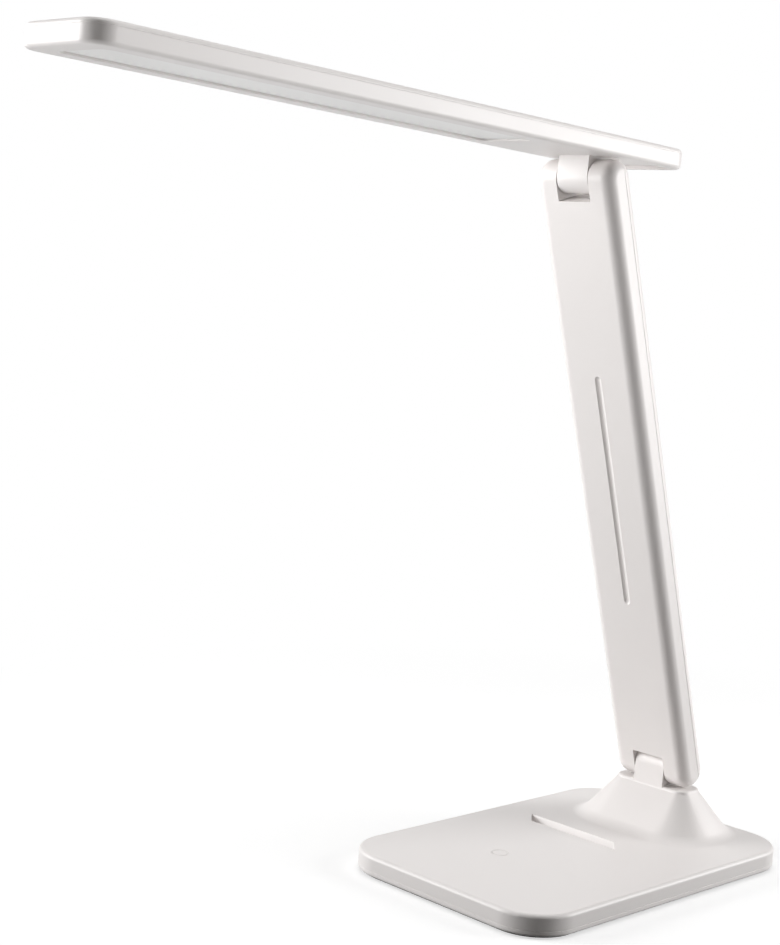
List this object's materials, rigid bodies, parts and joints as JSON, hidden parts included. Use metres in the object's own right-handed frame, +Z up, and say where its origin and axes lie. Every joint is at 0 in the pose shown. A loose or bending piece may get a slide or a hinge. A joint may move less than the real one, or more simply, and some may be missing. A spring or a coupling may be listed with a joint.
{
  "type": "folding led desk lamp",
  "caption": "Folding desk lamp: flat weighted base with a phone slot, slim arm on a friction hinge, and a long flat LED head that tilts and folds down.",
  "frame": {"origin": "on the table, straight below the lower hinge axis", "axes": "+Z up; -Y is the lamp's front, the way the head reaches; +X runs along both hinge axes"},
  "size_m": [0.117, 0.3817, 0.3346],
  "materials": {
    "white_plastic": "semi-gloss",
    "reflector_white": "matt",
    "opal_plastic": "frosted",
    "black_rubber": "matt",
    "steel": "satin",
    "plated_steel": "zinc plated",
    "brass": "satin",
    "circuit_board": "satin",
    "led_circuit_board": "satin",
    "black_plastic": "satin",
    "led_phosphor": "matt",
    "wire_insulation": "satin"
  },
  "bodies": {
    "base": {"base_top_shell": "white_plastic", "base_bottom_shell": "white_plastic", "foot_pad": "black_rubber", "ballast_plate": "plated_steel", "base_screws": "steel", "hinge_post": "plated_steel", "post_screws": "steel", "control_board": "circuit_board", "board_parts": "black_plastic", "touch_board": "circuit_board", "touch_lead": "wire_insulation", "power_inlet": "black_plastic", "inlet_pin": "brass", "base_lead": "wire_insulation", "lower_bush": "steel", "lower_pin": "steel", "lower_friction_washers": "brass", "lower_spring_washers": "steel", "lower_nut": "steel"},
    "arm": {"arm_front_shell": "white_plastic", "arm_rear_shell": "white_plastic", "arm_spine": "plated_steel", "arm_screws": "steel", "arm_lead": "wire_insulation"},
    "head": {"upper_bush": "steel", "upper_pin": "steel", "upper_friction_washers": "brass", "upper_spring_washers": "steel", "upper_nut": "steel", "head_top_cover": "white_plastic", "head_bottom_frame": "white_plastic", "head_bracket": "plated_steel", "bracket_screws": "steel", "diffuser": "opal_plastic", "light_frame": "reflector_white", "led_board": "led_circuit_board", "leds": "led_phosphor", "tail_panel": "white_plastic", "tail_screws": "steel", "head_lead": "wire_insulation"}
  },
  "joints": [
    {"name": "arm_fold", "type": "hinge", "parent": "base", "child": "arm", "pos_m": [0, 0, 0.039], "axis": [1, 0, 0], "range_deg": [-30, 67.5]},
    {"name": "head_tilt", "type": "hinge", "parent": "arm", "child": "head", "pos_m": [0, -0.08745, 0.30499], "axis": [1, 0, 0], "range_deg": [-69, 110.9]}
  ]
}
